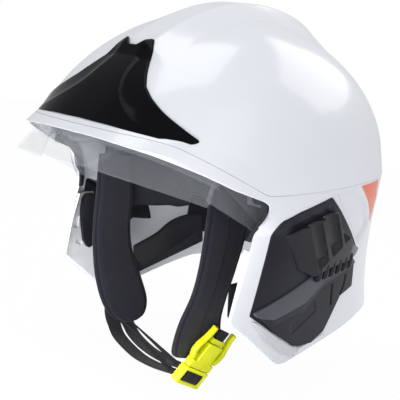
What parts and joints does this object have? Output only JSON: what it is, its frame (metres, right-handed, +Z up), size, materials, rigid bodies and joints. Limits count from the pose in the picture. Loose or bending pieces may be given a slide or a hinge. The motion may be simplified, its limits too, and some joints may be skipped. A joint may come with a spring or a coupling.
{
  "type": "jet style fire helmet",
  "caption": "Open-face fire helmet with a ridged shell, stowed clear face shield and inner visor, side lamp rails, padded straps and a quick-release chin buckle.",
  "frame": {"origin": "middle of the head between the temples, where the head holds the helmet", "axes": "+X to the wearer's left, -Y to the front, +Z up"},
  "size_m": [0.2532, 0.3532, 0.3134],
  "materials": {
    "shell_white": "gloss",
    "plate_black": "gloss",
    "trim_black": "satin",
    "lens_clear": "clear",
    "visor_clear": "clear",
    "reflective_orange": "retroreflective",
    "seal_rubber": "matte",
    "liner_white": "satin",
    "inner_dark": "matte",
    "liner_foam": "matte",
    "pivot_steel": "satin",
    "padding_black": "woven",
    "webbing_black": "woven",
    "buckle_yellow": "satin"
  },
  "bodies": {
    "helmet": {"brow_pad": "padding_black", "buckle_body": "buckle_yellow", "buckle_slider": "buckle_yellow", "buckle_tongue": "buckle_yellow", "cheek_liner_left": "liner_white", "cheek_liner_right": "liner_white", "chin_strap_front": "webbing_black", "chin_strap_rear": "webbing_black", "crown_pad": "padding_black", "crown_shell": "shell_white", "front_plate": "plate_black", "headband": "trim_black", "impact_liner": "liner_foam", "inner_shell": "inner_dark", "lamp_lens_left": "lens_clear", "lamp_lens_right": "lens_clear", "lamp_rail_left": "trim_black", "lamp_rail_right": "trim_black", "lower_shell": "shell_white", "nape_cradle": "trim_black", "nape_pad": "padding_black", "nape_strap_left": "webbing_black", "nape_strap_right": "webbing_black", "opening_gasket_left": "seal_rubber", "opening_gasket_right": "seal_rubber", "reflective_panel_left": "reflective_orange", "reflective_panel_right": "reflective_orange", "rim_tab_left": "shell_white", "rim_tab_right": "shell_white", "shield_bracket_left": "trim_black", "shield_bracket_right": "trim_black", "side_cover_left": "trim_black", "side_cover_right": "trim_black", "side_module_left": "plate_black", "side_module_right": "plate_black", "slider_webbing": "webbing_black", "strap_hanger_left": "webbing_black", "strap_hanger_right": "webbing_black", "strap_sleeve_left": "padding_black", "strap_sleeve_right": "padding_black", "tongue_webbing": "webbing_black", "visor_pivot_left": "pivot_steel", "visor_pivot_right": "pivot_steel"},
    "face_shield": {"face_shield": "visor_clear"},
    "ocular_visor": {"ocular_visor": "visor_clear"},
    "knob": {"ratchet_knob": "trim_black", "ratchet_pinion": "trim_black"},
    "rack_left": {"rack_left": "trim_black"},
    "rack_right": {"rack_right": "trim_black"},
    "lever_front": {"buckle_lever_front": "buckle_yellow"},
    "lever_rear": {"buckle_lever_rear": "buckle_yellow"}
  },
  "joints": [
    {"name": "face_shield_hinge", "type": "hinge", "parent": "helmet", "child": "face_shield", "pos_m": [0, 0.01, -0.01], "axis": [1, 0, 0], "range_deg": [0, 48]},
    {"name": "ocular_visor_hinge", "type": "hinge", "parent": "helmet", "child": "ocular_visor", "pos_m": [0, 0.01, -0.01], "axis": [1, 0, 0], "range_deg": [0, 42]},
    {"name": "ratchet_turn", "type": "hinge", "parent": "helmet", "child": "knob", "pos_m": [0, 0.122, -0.028], "axis": [0, 1, 0], "range_deg": [-114, 0]},
    {"name": "rack_left_slide", "type": "slide", "parent": "helmet", "child": "rack_left", "axis": [1, 0, 0], "range_m": [-0.00995, 0]},
    {"name": "rack_right_slide", "type": "slide", "parent": "helmet", "child": "rack_right", "axis": [1, 0, 0], "range_m": [0, 0.00995]},
    {"name": "lever_front_flex", "type": "hinge", "parent": "helmet", "child": "lever_front", "pos_m": [0.05696, -0.04291, -0.11247], "axis": [0.9495, -0.1199, -0.2899], "range_deg": [-3, 0], "stiffness_Nm_per_rad": 0.5},
    {"name": "lever_rear_flex", "type": "hinge", "parent": "helmet", "child": "lever_rear", "pos_m": [0.05695, -0.01796, -0.12281], "axis": [0.9495, -0.1199, -0.2899], "range_deg": [0, 3], "stiffness_Nm_per_rad": 0.5}
  ],
  "couplings": [
    {"joint": "rack_left_slide", "follows": "ratchet_turn", "m_per_rad": 0.005},
    {"joint": "rack_right_slide", "follows": "ratchet_turn", "m_per_rad": -0.005}
  ]
}
